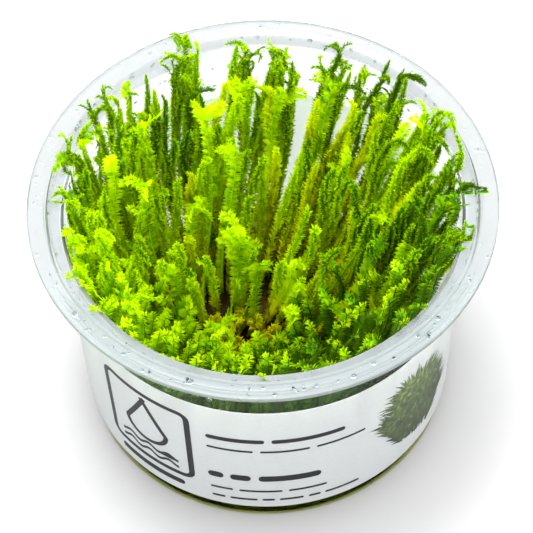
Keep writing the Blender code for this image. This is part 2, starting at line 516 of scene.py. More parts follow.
def frames_along(path, facing):
    """Directions along a path, to the side of it and to its front, which starts out facing this way."""
    ahead = np.gradient(path, axis=0)
    ahead /= np.linalg.norm(ahead, axis=1)[:, None]
    aside = np.cross(facing, ahead[0])
    sides = np.empty_like(path)
    for step, direction in enumerate(ahead):
        aside = aside - direction * aside.dot(direction)
        aside /= np.linalg.norm(aside)
        sides[step] = aside
    return ahead, sides, np.cross(ahead, sides)


class Tuft:
    """The mesh of one tuft: its corners, its faces, and for each corner its shade and its age."""

    def __init__(self):
        self.points, self.faces, self.marks, self.count = [], [], [], 0

    def add(self, points, faces, marks):
        self.points.append(points)
        self.faces.append(faces + self.count)
        self.marks.append(marks)
        self.count += len(points)

    def stem(self, path, thick, shade, low, high):
        """A four-sided stem that thins to a point."""
        path = evenly(path, STEM_STEP)[0]
        ahead, side, front = frames_along(path, STEM_SIDE)
        rings = len(path)
        radius = thick * np.linspace(1, 0.35, rings)[:, None, None]
        turns = np.arange(4) * math.tau / 4
        around = np.cos(turns)[None, :, None] * side[:, None] + np.sin(turns)[None, :, None] * front[:, None]
        points = (path[:, None] + radius * around).reshape(-1, 3)
        points = np.concatenate([points, path[:1], path[-1:] + ahead[-1:] * thick])
        ring = np.arange(rings - 1)[:, None] * 4
        one, two = np.arange(4)[None], (np.arange(4)[None] + 1) % 4
        quads = np.stack([ring + one, ring + two, ring + 4 + two, ring + 4 + one], axis=-1).reshape(-1, 4)
        ends = 4 * rings
        caps = [[ends, (k + 1) % 4, k] for k in range(4)]
        caps += [[ends + 1, ends - 4 + k, ends - 4 + (k + 1) % 4] for k in range(4)]
        faces = np.concatenate([quads[:, [0, 1, 2]], quads[:, [0, 2, 3]], caps])
        along = np.concatenate([np.repeat(np.linspace(low, high, rings), 4), [low, high]])
        self.add(points, faces, np.stack([np.full(len(points), shade), along], 1))

    def leaves(self, path, size, shade, low, high, spacing, pressed, frond, shadow, facing, slender):
        """Leaves along a path. On a frond they stand to its two sides like the teeth of a comb and lie flat
        in it, on a rope they stand all round. They lie along the stem below the share of the path that
        pressed names, and spread above it. shadow is how much darker the shoot is deep down. A slender shoot
        thins towards its top."""
        path, length = evenly(path, spacing)
        ahead, side, front = frames_along(path, facing)
        count = len(path)
        part = np.linspace(0, 1, count)
        to_end = length * (1 - part)
        open_share = np.clip((part - pressed) / 0.15, 0, 1)
        if frond:
            turn = np.arange(count) * math.pi + draw.normal(0, 0.22, count)
            roll = ROLL + draw.normal(0, 0.10, count)
            spread = draw.uniform(*FROND_SPREAD)
        else:
            turn = draw.uniform(0, math.tau) + np.arange(count) * TURN + draw.normal(0, 0.15, count)
            roll = draw.normal(0, 0.20, count)
            spread = draw.uniform(*ROPE_SPREAD)
        outward = np.cos(turn)[:, None] * side + np.sin(turn)[:, None] * front
        tilt = spread * np.interp(to_end, *OPENING) * (0.45 + 0.55 * open_share)
        tilt += draw.normal(0, 0.06, count)
        along = np.cos(tilt)[:, None] * ahead + np.sin(tilt)[:, None] * outward
        back = -np.sin(tilt)[:, None] * ahead + np.cos(tilt)[:, None] * outward
        across = np.cross(along, back)
        wide = np.cos(roll)[:, None] * across + np.sin(roll)[:, None] * back
        up = -np.sin(roll)[:, None] * across + np.cos(roll)[:, None] * back
        long = size * np.interp(to_end, *LENGTHS)
        long = long * (0.80 + 0.20 * open_share) * draw.uniform(0.90, 1.10, count)
        if slender:
            long *= np.interp(to_end, *SLENDER)
        basis = np.stack([wide, along, up], axis=1) * long[:, None, None]

        age = low + (high - low) * part
        # near its foot a leaf is made lighter: painted light against the shade down among the old yellowed
        # stems
        tone = shade + draw.normal(0, TONE_SPREAD, count) + 0.34 * np.clip(1 - age / 0.40, 0, 1)
        tone -= shadow * np.clip((to_end - 0.0010) / 0.005, 0, 1)
        young = to_end < OLD_FROM
        old = ~young & (np.arange(count) % 2 == 0)
        for chosen, (corners, blade) in ((young, COMB_LEAF if frond else ROPE_LEAF), (old, OLD_LEAF)):
            number = int(chosen.sum())
            if not number:
                continue
            points = (corners[None, :, :, None] * basis[chosen][:, None]).sum(axis=2) + path[chosen][:, None]
            faces = (blade[None] + np.arange(number)[:, None, None] * len(corners)).reshape(-1, 3)
            # each leaf is painted darker at its foot by the stem and lighter at its tip: painted shade and
            # highlight
            painted_light = np.interp(corners[:, 1], *LEAF_SHADE_TO_HIGHLIGHT) * (FROND_SHADE_TO_HIGHLIGHT if frond else 1)
            marks = np.repeat(tone[chosen], len(corners)) + np.tile(painted_light, number)
            self.add(points.reshape(-1, 3), faces, np.stack([marks, np.repeat(age[chosen], len(corners))], 1))

    def shoot(
        self, path, size, shade, low, high, spacing, frond, facing,
        thick=STEM_THICK, pressed=0.0, shadow=0.0, slender=False,
    ):
        """A stem with its leaves. low and high are the age of its foot and of its tip, from 0 for the oldest
        moss to 1 for the youngest, and shade is 0 for the darkest and 1 for the brightest."""
        self.stem(path, thick, shade - shadow, low, high)
        self.leaves(path, size, shade, low, high, spacing, pressed, frond, shadow, facing, slender)

    def piece(self, name, material, node):
        """Keeps the tuft inside the cup and puts it in place of its solid."""
        points = np.concatenate(self.points)
        radius = np.hypot(points[:, 0], points[:, 1])
        room = np.interp(points[:, 2], ROOM[:, 0], ROOM[:, 1]) - WALL - 0.00005
        points[:, :2] *= np.minimum(1, room / np.maximum(radius, 1e-9))[:, None]
        points[:, 2] = np.maximum(points[:, 2], LOWEST)
        faces = np.concatenate(self.faces)
        marks = np.clip(np.concatenate(self.marks), 0.005, 0.995)
        mesh = bpy.data.meshes.new(name)
        mesh.vertices.add(len(points))
        mesh.vertices.foreach_set("co", points.astype(np.float32).ravel())
        mesh.loops.add(3 * len(faces))
        mesh.loops.foreach_set("vertex_index", faces.astype(np.int32).ravel())
        mesh.polygons.add(len(faces))
        mesh.polygons.foreach_set("loop_start", np.arange(0, 3 * len(faces), 3, dtype=np.int32))
        mesh.update(calc_edges=True)
        chart = mesh.uv_layers.new(name="OFBake")
        chart.data.foreach_set("uv", marks[faces.ravel()].astype(np.float32).ravel())
        mesh.materials.append(material)
        settle(name, mesh, node)


# The leaves' colour comes from the piece's own map: X is the shade, the leaves' own tone with painted shade
# and highlights in it, and Y is the age
moss = Finish("moss_leaf")
chart = moss.add("ShaderNodeUVMap", {"uv_map": "OFBake"})
shade = moss.axis("X", chart)
age = moss.axis("Y", chart)
deep = moss.ramp(age, (
    (0.0, rgb(58, 38, 4)), (0.10, rgb(90, 66, 4)), (0.22, rgb(184, 154, 0)), (0.40, rgb(116, 124, 0)),
    (0.60, rgb(34, 80, 0)), (1.0, rgb(16, 68, 0)),
))
plain = moss.ramp(age, (
    (0.0, rgb(96, 64, 6)), (0.10, rgb(170, 132, 4)), (0.20, rgb(238, 216, 0)), (0.34, rgb(212, 220, 0)),
    (0.56, rgb(140, 180, 0)), (0.80, rgb(74, 136, 0)), (1.0, rgb(84, 156, 0)),
))
bright = moss.ramp(age, (
    (0.0, rgb(150, 112, 4)), (0.12, rgb(226, 196, 0)), (0.22, rgb(246, 232, 0)), (0.42, rgb(224, 242, 0)),
    (0.75, rgb(204, 236, 0)), (1.0, rgb(212, 244, 0)),
))
where = moss.place()
cells = moss.noise(where, 3000, 2)
blotches = moss.noise(where, 520, 2)
lighter = moss.mix(moss.between(shade, 0.40, 0.98), plain, bright)
colour = moss.mix(moss.between(shade, 0.02, 0.40), deep, lighter)
decay = moss.between(blotches, 0.45, 0.58) * moss.between(age, 0.20, 0.42, 0.90, 0.0)
colour = moss.mix(decay, colour, rgb(56, 36, 3))
leaf = moss.principled(
    Base_Color=moss.mix(moss.between(cells, 0.35, 0.75, 0.0, 0.10), colour, (0.60, 0.90, 0.0, 1)),
    Roughness=moss.between(cells, 0.3, 0.7, 0.40, 0.6), Specular_IOR_Level=0.06,
    Normal=moss.bump(cells, 0.5, 0.00008),
)
glow = moss.translucent(rgb(214, 248, 0))
moss_leaf = moss.done(moss.blend(moss.between(shade - age * 0.6, -0.6, 0.45, 0.05, 0.52), leaf, glow))

# How the moss grows in each part of the cup: ropes at the back and the sides, bushy fronds at the front, and
# short old moss in the heart. shoots is how many stand round a tip, in the heart and the middle and then in
# each row of the rim; fronds the share of them that are fronds; spread how far they stand from the tip; flock
# how far their tops crowd together; fall how much lower the later ones are; shadow how much darker they are
# deep down; ages the age at the foot and at the tip; size a leaf's length; bend how far the tips curl.
STYLES = {
    "back": {
        "shoots": (1, 1, 2, 3), "fronds": 0.08, "spread": 0.80, "flock": 0.065, "twigs": 4, "shade": 0.57,
        "fall": 0.20, "shadow": 0.00, "ages": (0.0, 0.88), "size": 0.00142, "bend": (0.3, 1.5),
    },
    "side": {
        "shoots": (1, 1, 3, 4), "fronds": 0.15, "spread": 0.85, "flock": 0.040, "twigs": 3, "shade": 0.57,
        "fall": 0.25, "shadow": 0.08, "ages": (0.0, 0.92), "size": 0.00138, "bend": (0.3, 1.5),
    },
    "front": {
        "shoots": (1, 2, 2, 3), "fronds": 1.00, "spread": 0.90, "flock": 0.0, "twigs": 1, "shade": 0.62,
        "fall": 0.40, "shadow": 0.95, "ages": (0.60, 1.0), "size": 0.00122, "bend": (0.6, 2.5),
    },
    "heart": {
        "shoots": (3, 3, 3, 3), "fronds": 0.04, "spread": 1.20, "flock": 0.0, "twigs": 2, "shade": 0.02,
        "fall": 0.60, "shadow": 0.0, "ages": (0.0, 0.24), "size": 0.00120, "bend": (0.1, 1.0),
    },
}
# Places in the crown whose moss is lighter or darker than the rest, partly painted light falling from the
# upper left, lighter at the front left and the middle and darker to the right: middle, reach, and by how much
LIT_AND_SHADED_SPOTS = (
    ((-0.75, -0.40), 0.50, 0.92), ((-0.10, -0.05), 0.45, 0.20), ((0.10, 0.25), 0.38, 0.28),
    ((0.80, -0.05), 0.40, -0.26),
)
# Places in the crown that the shadow deep down spares: middle, reach, and how much of it
SPARED = (((-0.75, -0.40), 0.50, 0.50), ((0.0, 0.0), 0.40, 0.35))
# The patch of yellow old shoots: middle and reach
GOLDEN = ((0.32, 0.45), 0.42)
# The line of the moss against the wall: how high it reaches in each direction, in degrees and millimetres
SKYLINE = np.array([
    (30, 62), (45, 62), (55, 60), (60, 55), (65, 57), (70, 61), (75, 55), (82, 57), (88, 56), (93, 61.5),
    (98, 60), (105, 57), (113, 60), (125, 58), (133, 57), (142, 61), (155, 64),
])
# Where the ropes stand apart: the direction of each parting, and half its width, in degrees
PARTINGS = ((73, 4.5), (106, 2.5), (59, 2.0), (122, 1.5))
# Where nothing roots and the gel shows: places in the disc of roots, with their radius
HOLLOWS = ((-0.14, 0.70, 0.12), (-0.17, 0.42, 0.19), (0.12, 0.40, 0.13), (0.42, 0.52, 0.10))
# The large bright fronds: the place of each in the disc of roots, how high it reaches, its size and the
# number of its twigs
LARGE_FRONDS = (
    (-0.12, 0.62, 0.75, 0.0014, 5), (-0.03, 0.35, 0.47, 0.0017, 9), (-0.26, 0.70, 0.87, 0.0014, 6),
    (-0.61, 0.31, 0.86, 0.0016, 3), (-0.36, 0.47, 0.60, 0.0015, 4), (-0.48, 0.09, 0.47, 0.0015, 5),
    (-0.93, -0.10, 0.90, 0.0015, 6), (0.12, 0.28, 0.36, 0.0014, 5), (0.67, 0.19, 0.72, 0.0012, 4),
    (-0.70, -0.30, 0.72, 0.0015, 6), (0.30, -0.22, 0.42, 0.0014, 4), (-0.20, -0.25, 0.40, 0.0015, 5),
)
# How far apart the leaves stand on a rope, on a frond, and on a frond at the front
ROPE_SPACING = 0.00010
FROND_SPACING = 0.00018
FRONT_SPACING = 0.00023
FROND_GROWTH = 1.1
UPRIGHT = [0, 0, 1]


def hill(x, y, middle, reach):
    """A number that is 1 at this place in the crown and falls off round it."""
    return math.exp(-((x - middle[0]) ** 2 + (y - middle[1]) ** 2) / reach**2)


def bent(path, bend, hook, axis):
    """The path with a tail that curls round the axis by bend radians, on a circle of radius hook."""
    ahead = (path[-1] - path[-2]) / np.linalg.norm(path[-1] - path[-2])
    axis = np.asarray(axis) - ahead * np.dot(axis, ahead)
    axis /= np.linalg.norm(axis)
    side = np.cross(axis, ahead)
    turns = np.linspace(0, bend, 10)[1:, None]
    tail = path[-1] + hook * (np.sin(turns) * ahead + (1 - np.cos(turns)) * side)
    return np.concatenate([path, tail])


def stretch(path, top):
    """Stretches the path upwards so that its highest point comes to this height."""
    path[:, 2] = FOOT + (path[:, 2] - FOOT) * (top - FOOT) / (path[:, 2].max() - FOOT)


def add_twigs(tuft, path, number, size, shade, low, high, spacing, frond, facing, lowest=0.66):
    """Short side shoots near the top of a shoot, which curl and stay below its top. lowest is the share of
    the path where they begin."""
    for _ in range(number):
        at = draw.uniform(lowest, 0.95)
        step = int(at * (len(path) - 1))
        ahead = path[min(step + 1, len(path) - 1)] - path[step - 1]
        ahead /= np.linalg.norm(ahead)
        aside = np.cross(ahead, facing + draw.normal(0, 0.3, 3)) * draw.choice([-1, 1])
        aside /= np.linalg.norm(aside)
        length = draw.uniform(0.0014, 0.0034) * size / 0.0014
        runs = np.linspace(0, 1, 5)[:, None]
        twig = bent(
            path[step] + length * runs * (0.60 * aside + 0.80 * ahead), draw.uniform(0.6, 1.9),
            draw.uniform(0.0010, 0.0018), np.cross(ahead, aside) * draw.choice([-1, 1]),
        )
        above = max(0, twig[:, 2].max() - path[:, 2].max())
        twig[:, 2] -= above * np.linspace(0, 1, len(twig))
        tuft.shoot(
            twig, size * 0.85, min(1, shade + 0.08), low + at * (high - low), high, 1.1 * spacing, frond,
            facing, thick=TWIG_THICK,
        )


class Spot:
    """Where a few shoots grow: round one tip of a tuft's solid, from its own cell of the disc of roots. back
    is 0 at the front of the cup and 1 at the back."""

    def __init__(self, ring, start, width, tip):
        _, inner, outer, around, rows = RINGS[ring]
        self.crown, self.top = disc_of(tip)
        distance = np.hypot(*self.crown)
        angle = (math.atan2(self.crown[1], self.crown[0]) - start) % math.tau
        column = min(around - 1, max(0, int(angle / width * around)))
        self.row = min(rows - 1, max(0, int((distance - inner) / (outer - inner) * rows)))
        middle_angle = start + (column + 0.5) * width / around
        self.middle = inner + (self.row + 0.5) * (outer - inner) / rows
        self.cell = 0.5 * np.array([self.middle * width / around, (outer - inner) / rows])
        self.outwards = np.array([math.cos(middle_angle), math.sin(middle_angle)])
        self.beside = np.array([-self.outwards[1], self.outwards[0]])
        self.back = 0.5 + 0.5 * self.outwards[1]
        self.ring = ring
        self.zone = "back" if self.back > 0.80 else "side" if self.back > 0.36 else "front"
        if ring == "heart":
            self.zone = "heart"
        elif ring == "middle" and self.back < 0.55:
            self.zone = "front"
        self.style = STYLES[self.zone]
        self.inner_row = self.zone in ("back", "side") and self.row < 2
        self.number = self.style["shoots"][self.row + 1 if ring == "rim" else 0]
        self.bow = (0.0030 if ring == "rim" else 0.0012) + (0.0024 if self.zone == "front" else 0)
        flock = noise.noise(Vector((9 * self.outwards[0], 9 * self.outwards[1], 0.5 * self.row)))
        self.crowded = self.crown + self.style["flock"] * flock * self.beside
        self.set_light()

    def set_light(self):
        """How light the shoots are here, and how dark deep down."""
        cluster = noise.noise(Vector((5 * self.crown[0], 5 * self.crown[1], 3.7)))
        self.shade = self.style["shade"] + 0.55 * cluster
        if self.ring == "middle":
            self.shade += 0.20
        if self.zone == "back":
            self.shade -= 0.03 * self.row
        # these spots add painted light from the upper left to the moss's own tone
        for middle, reach, amount in LIT_AND_SHADED_SPOTS:
            self.shade += amount * hill(*self.crown, middle, reach)
        left = 1
        for middle, reach, amount in SPARED:
            left -= amount * hill(*self.crown, middle, reach)
        self.shadow = self.style["shadow"] * left

    def rooted(self, root):
        """The root of a shoot, moved to the edge of a hollow that it falls in, or None where none grows."""
        for across, away, radius in HOLLOWS:
            if math.hypot(root[0] - across, root[1] - away) < radius:
                if self.ring != "rim":
                    return None
                if self.row < 2:
                    gone = root - (across, away)
                    return (across, away) + gone / np.linalg.norm(gone) * radius
                break
        return root

    def parted(self, end):
        """The top of a shoot of the rim, moved out of the partings, and its direction in degrees."""
        turn = math.degrees(math.atan2(end[1], end[0]))
        for parting, half in PARTINGS:
            off = turn - parting
            if abs(off) < 2 * half:
                turn += math.copysign(half * (1 - abs(off) / (2 * half)), off)
        return np.hypot(*end) * np.array([math.cos(math.radians(turn)), math.sin(math.radians(turn))]), turn

    def rising(self, root, end, high):
        """The path of a shoot that bows outwards and waves on its way up."""
        share = np.linspace(0, high, PATH_STEPS)
        ease = (share / high) ** 1.3
        disc = root[None] + (end - root)[None] * ease[:, None]
        path = fan_place(disc, share)
        bow = self.bow * np.clip(np.sin(math.pi * share / high), 0, 1) ** 1.2
        path[:, :2] += bow[:, None] * self.outwards
        phase = draw.uniform(0, math.tau, 4)
        waves = draw.uniform(0.0003, 0.0011, 2)
        run = share * RISE
        for k in range(2):
            path[:, k] += waves[k] * np.sin(phase[k] + run / 0.0048) * ease
            path[:, k] += 0.22 * waves[1 - k] * np.sin(phase[k + 2] + run / 0.0021) * ease
        return path

    def curled(self, path, high):
        """The path with its tip curled over, and the direction that its leaves face. Some of the tallest
        shoots at the back hang over in a wide hook."""
        at_front = self.zone == "front"
        kind = draw.random()
        face = draw.uniform(0, math.tau)
        if at_front:
            face = -math.tau / 4 + (face - math.tau / 2) * 0.35
        facing = np.array([math.cos(face), math.sin(face), 0.0])
        tall = self.ring == "rim" and not at_front and high > 0.90
        if tall and kind < 0.30 * self.back:
            axis = np.cross(UPRIGHT, [*self.beside, 0]) * draw.choice([-1, 1])
            path = bent(path, draw.uniform(1.6, 2.5), draw.uniform(0.0022, 0.0036), axis)
        elif kind < 0.80:
            axis = np.cross(UPRIGHT, facing)
            if at_front:
                axis = facing * draw.choice([-1, 1]) - 0.5 * axis
            bend = draw.uniform(0.9, 2.6) if tall else draw.uniform(*self.style["bend"])
            hook = draw.uniform(0.0009, 0.0019) if at_front else draw.uniform(0.0016, 0.0028)
            path = bent(path, bend, hook, axis)
        return path, facing

    def grow(self, tuft, later):
        """One shoot. The first grows to the solid's tip, and the later ones stand round it."""
        style, zone, back, inner_row = self.style, self.zone, self.back, self.inner_row
        at_rim = self.ring == "rim"
        offset = draw.uniform(-0.9, 0.9, 2) * self.cell
        shift = offset[0] * self.beside + offset[1] * self.outwards
        root = self.rooted(self.middle * self.outwards + (0.3 + style["spread"]) * shift)
        if root is None:
            return
        end = self.crowded + style["spread"] * shift * later
        if at_rim:
            end, turn = self.parted(end)

        high = self.top * (0.98 - later * style["fall"] * draw.random() ** (0.4 + 1.6 * back))
        if inner_row and later:
            high = self.top * draw.uniform(0.75, 1.10)
        frond = bool(draw.random() < style["fronds"] + 0.10 * inner_row)
        if zone == "heart" and not frond:
            high = self.top * draw.uniform(0.20, 0.50)
        if at_rim and back > 0.72:
            line = 0.001 * np.interp(turn, SKYLINE[:, 0], SKYLINE[:, 1])
            high = min(high, (line - FOOT) / RISE * draw.uniform(0.93, 1.0))
        shade = float(np.clip(self.shade + 0.22 * frond * inner_row + draw.normal(0, 0.17), 0, 0.95))
        largest = 1.08 + 0.17 * (zone == "front")
        size = style["size"] * draw.uniform(0.92, largest) * (FROND_GROWTH if frond else 1.0)
        if inner_row or self.ring == "middle":
            size *= 1.20

        path, facing = self.curled(self.rising(root, end, high), high)
        stretch(path, FOOT + high * RISE - 0.5 * size)
        spacing = ROPE_SPACING if not frond else FRONT_SPACING if zone == "front" else FROND_SPACING
        old, young = style["ages"]
        if inner_row and draw.random() < 0.04 + 0.34 * hill(*self.crown, *GOLDEN):
            old, young, shade = 0.0, 0.38, 0.68
        if zone == "heart" and frond:
            old, young, shade = 0.4, 1.0, 0.80
        tuft.shoot(
            path, size, shade, old, young, spacing, frond, facing, shadow=self.shadow,
            pressed=0.0 if zone == "heart" else 0.12, slender=at_rim and not frond,
        )
        if frond or at_rim and self.row == 2:
            number = int(draw.integers(0, style["twigs"]))
            add_twigs(
                tuft, path, number, size if frond else 0.72 * size, shade, old, young, spacing, frond, facing
            )


def grow_large_frond(tuft, across, away, high, size, number):
    """A large bright frond that grows straight up from its root and turns its flat side to the front."""
    share = np.linspace(0, high, PATH_STEPS)
    path = fan_place(np.tile([across, away], (PATH_STEPS, 1)), share)
    path[:, 0] += 0.0008 * np.sin(draw.uniform(0, math.tau) + 6 * share)
    facing = np.array([draw.normal(0, 0.3), -1.0, 0.3])
    path = bent(path, draw.uniform(0.6, 1.4), 0.0025, np.cross(UPRIGHT, facing) * draw.choice([-1, 1]))
    stretch(path, FOOT + high * RISE)
    looks = (FROND_GROWTH * size, 0.95, 0.55, 1.0, FROND_SPACING, True, facing)
    tuft.shoot(path, *looks, shadow=0.2)
    add_twigs(tuft, path, number, *looks, lowest=0.55)


for ring, (number, inner, outer, _, _) in RINGS.items():
    width = math.tau / number
    for place in range(number):
        start = place * math.tau / number
        node = f"tuft_{ring}_{place + 1:02d}"
        tuft = Tuft()
        for tip in solid_tips(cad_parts[node]):
            spot = Spot(ring, start, width, tip)
            for which in range(spot.number):
                spot.grow(tuft, later=which > 0)
        for frond in LARGE_FRONDS:
            turn = math.atan2(frond[1], frond[0]) % math.tau
            if inner <= math.hypot(frond[0], frond[1]) < outer and start <= turn < start + width:
                grow_large_frond(tuft, *frond)
        tuft.piece(f"moss_{ring}_{place + 1:02d}", moss_leaf, node)


# The label: one white plastic film, wrapped round the wall. It is printed dark grey, with a plain block of
# orange on both its sides at the back, which shows through the clear wall.
LABEL_LOW = 0.0047
LABEL_HIGH = 0.0414
STAND_OFF = 0.0003
FILM = 0.0002
INK = 0.00002


def film_finish(name, paper, shade, show_through, through_colour):
    """Printed film that lets light through, slightly wavy and fibrous."""
    film = Finish(name)
    where = film.place()
    fibre = film.noise(where, 1500, 3)
    wave = film.noise(where, 45, 1)
    sheet = film.principled(
        Base_Color=film.mix(film.between(fibre, 0.3, 0.75), paper, shade),
        Roughness=film.between(wave, 0.3, 0.7, 0.34, 0.46), Specular_IOR_Level=0.4,
        Normal=film.bump(fibre * 0.2 + wave, 0.15, 0.0002),
    )
    return film.done(film.blend(show_through, sheet, film.translucent(through_colour)))


label_face = film_finish(
    "label_film", rgb(208, 209, 214), rgb(200, 201, 208), 0.48, (0.96, 0.96, 0.98, 1)
)
label_reverse = film_finish(
    "label_reverse", rgb(228, 250, 216), rgb(220, 244, 208), 0.80, (0.94, 0.98, 0.90, 1)
)

outside = [(wall_radius(h) + STAND_OFF + FILM, h) for h in np.linspace(LABEL_HIGH, LABEL_LOW, 7)]
inside = [(wall_radius(h) + STAND_OFF, h) for h in np.linspace(LABEL_LOW, LABEL_HIGH, 7)]
bm = turned(outside + inside, CUP_STEPS, ring=True)
for face in bm.faces:
    faces_in = face.normal.xy.dot(face.calc_center_median().xy) < 0
    face.material_index = 1 if faces_in else 0
put("label_film", bm, [label_face, label_reverse], "label", smooth_angle=50)

ink = Finish("label_ink")
mottle = ink.noise(ink.place(), 2200, 3)
dark_ink = ink.done(ink.principled(
    Base_Color=ink.mix(ink.between(mottle, 0.3, 0.7), rgb(12, 13, 14), rgb(30, 32, 34)),
    Roughness=ink.between(mottle, 0.3, 0.7, 0.38, 0.5), Specular_IOR_Level=0.15,
))


def on_label(point, lift):
    """Where a point of the flat print lies on the label: its X is the distance round from the middle of the
    front, to the right, and its Y the height."""
    radius = wall_radius(point.y) + STAND_OFF + FILM + lift
    angle = point.x / WALL_TOP_RADIUS - math.tau / 4
    return Vector((radius * math.cos(angle), radius * math.sin(angle), point.y))


def panel(bm, low, high, rounding):
    """A rounded rectangle on the flat print."""
    size = Vector((high[0] - low[0], high[1] - low[1], 1))
    made = bmesh.ops.create_grid(bm, x_segments=1, y_segments=1, size=0.5)["verts"]
    bmesh.ops.scale(bm, vec=size, verts=made)
    bmesh.ops.translate(bm, vec=((low[0] + high[0]) / 2, (low[1] + high[1]) / 2, 0), verts=made)
    bmesh.ops.bevel(
        bm, geom=made, offset=rounding, offset_type="OFFSET", affect="VERTICES",
        segments=4, profile=0.5, material=-1,
    )


def line_inside(bm, face, width):
    """Leaves of this face only a line of this width along its edge."""
    bm.normal_update()
    bmesh.ops.inset_region(bm, faces=[face], thickness=width, use_boundary=True)
    bmesh.ops.delete(bm, geom=[face], context="FACES_ONLY")


def put_print(name, bm, finish, lift=0.00001):
    """Wraps a flat print round the label, cut finely enough to follow it, and makes it a hair thick."""
    bmesh.ops.triangulate(bm, faces=bm.faces[:])
    arcs = [point.co.x for point in bm.verts]
    for cut in range(math.ceil(min(arcs) / 0.001), math.floor(max(arcs) / 0.001) + 1):
        everything = bm.verts[:] + bm.edges[:] + bm.faces[:]
        bmesh.ops.bisect_plane(bm, geom=everything, plane_co=(cut * 0.001, 0, 0), plane_no=(1, 0, 0))
    raised = bmesh.ops.extrude_face_region(bm, geom=bm.faces[:])["geom"]
    upper = [part for part in raised if isinstance(part, bmesh.types.BMVert)]
    bmesh.ops.translate(bm, vec=(0, 0, INK), verts=upper)
    bmesh.ops.recalc_face_normals(bm, faces=bm.faces[:])
    for point in bm.verts:
        point.co = on_label(point.co, lift + point.co.z)
    put(name, bm, [finish])


# The emblem: a plain drop over two waves, in a rounded frame
FRAME_LOW = (-0.0375, 0.0110)
FRAME_HIGH = (-0.0160, 0.0365)
FRAME_CORNER = 0.0026
FRAME_LINE = 0.0013
MIDDLE = -0.02675
DROP_CENTRE = 0.0235
DROP_RADIUS = 0.0054
DROP_LINE = 0.0011
WAVES = (0.0140, 0.0162)
WAVE_REACH = 0.0072
WAVE_HEIGHT = 0.0006
WAVE_LINE = 0.0009
bm = bmesh.new()
panel(bm, FRAME_LOW, FRAME_HIGH, FRAME_CORNER)
line_inside(bm, bm.faces[:][0], FRAME_LINE)
drop = []
for angle in np.linspace(0, math.tau, 40, endpoint=False):
    up = max(0.0, math.sin(angle))
    across = DROP_RADIUS * math.cos(angle) * (1 - up) ** 0.5
    drop.append((MIDDLE + across, DROP_CENTRE + DROP_RADIUS * (math.sin(angle) + 1.05 * up**2), 0))
line_inside(bm, bm.faces.new([bm.verts.new(point) for point in drop]), DROP_LINE)
steps = np.linspace(-1, 1, 25)
for low in WAVES:
    lower = [(MIDDLE + WAVE_REACH * t, low + WAVE_HEIGHT * math.cos(3 * math.pi * t), 0) for t in steps]
    upper = [(across, height + WAVE_LINE, 0) for across, height, _ in lower[::-1]]
    bm.faces.new([bm.verts.new(point) for point in lower + upper])
put_print("print_emblem", bm, dark_ink)

# The print beside it: rows of plain bars, each row by its lower edge, its thickness and its bars' two ends
BARS = (
    (0.0074, 0.0018, ((-0.0352, -0.0186),)),
    (0.0300, 0.0014, ((-0.0128, -0.0012), (0.0002, 0.0150))),
    (0.0264, 0.0007, ((-0.0128, -0.0035), (-0.0021, 0.0078), (0.0092, 0.0196))),
    (0.0150, 0.0021, ((-0.0130, -0.0098), (-0.0084, -0.0042), (-0.0026, 0.0102))),
    (0.0106, 0.0007, ((-0.0127, -0.0080), (-0.0067, 0.0022), (0.0035, 0.0115))),
    (0.0072, 0.0007, ((-0.0125, -0.0097), (-0.0087, -0.0030), (-0.0020, 0.0006), (0.0016, 0.0066),
                      (0.0077, 0.0102), (0.0112, 0.0188))),
)
bm = bmesh.new()
for low, thick, bars in BARS:
    for left, right in bars:
        panel(bm, (left, low), (right, low + thick), 0.42 * thick)
put_print("print_bars", bm, dark_ink)

# The picture at the right: a plain fan of grassy blades, which overlap like cut paper
BLADES = 800
SPRIG_PLACE = (0.0342, 0.0100)
SPRIG_HEIGHT = 0.0185
SPRIG_WIDTHS = ([0, 0.35, 0.7, 1], [0.0045, 0.0082, 0.0066, 0.0034])
BLADE_WIDTH = 0.0009
BLADE_LENGTHS = (0.0040, 0.0088)
sprig = Finish("sprig_ink")
where = sprig.place()
dabs = sprig.noise(where, 900, 4)
sprig_ink = sprig.done(sprig.principled(
    Base_Color=sprig.ramp(dabs + (sprig.axis("Z", where) - 0.024) * 10, (
        (0.30, rgb(28, 36, 20)), (0.48, rgb(52, 66, 34)), (0.62, rgb(80, 98, 46)), (0.78, rgb(120, 140, 66)),
    )),
    Roughness=sprig.between(dabs, 0.3, 0.7, 0.40, 0.5), Specular_IOR_Level=0.3,
))
blades = np.random.default_rng(5)
bm = bmesh.new()
for blade in range(BLADES):
    row = blades.random()
    across = blades.uniform(-1, 1)
    lean = 0.62 * across + blades.normal(0, 0.16)
    reach = np.interp(row, *SPRIG_WIDTHS)
    foot = Vector((
        SPRIG_PLACE[0] - 0.0012 * row + reach * across,
        SPRIG_PLACE[1] + SPRIG_HEIGHT * row - 0.0012 * across,
        6e-8 * blade,
    ))
    long = blades.uniform(*BLADE_LENGTHS) * (1.1 - 0.25 * abs(across))
    for point in bmesh.ops.create_grid(bm, x_segments=1, y_segments=3, size=0.5)["verts"]:
        part = point.co.y + 0.5
        side = point.co.x * BLADE_WIDTH * max(0, 1 - part) ** 0.8 * (0.4 + 1.6 * part)
        tilt = lean * (0.7 + 0.5 * part)
        run = Vector((math.sin(tilt), math.cos(tilt), 0))
        point.co = foot + run * long * part + Vector((run.y, -run.x, 0)) * side
bmesh.ops.remove_doubles(bm, verts=bm.verts[:], dist=1e-8)
for point in bm.verts:
    point.co = on_label(point.co, INK + point.co.z)
put("print_sprig", bm, [sprig_ink])

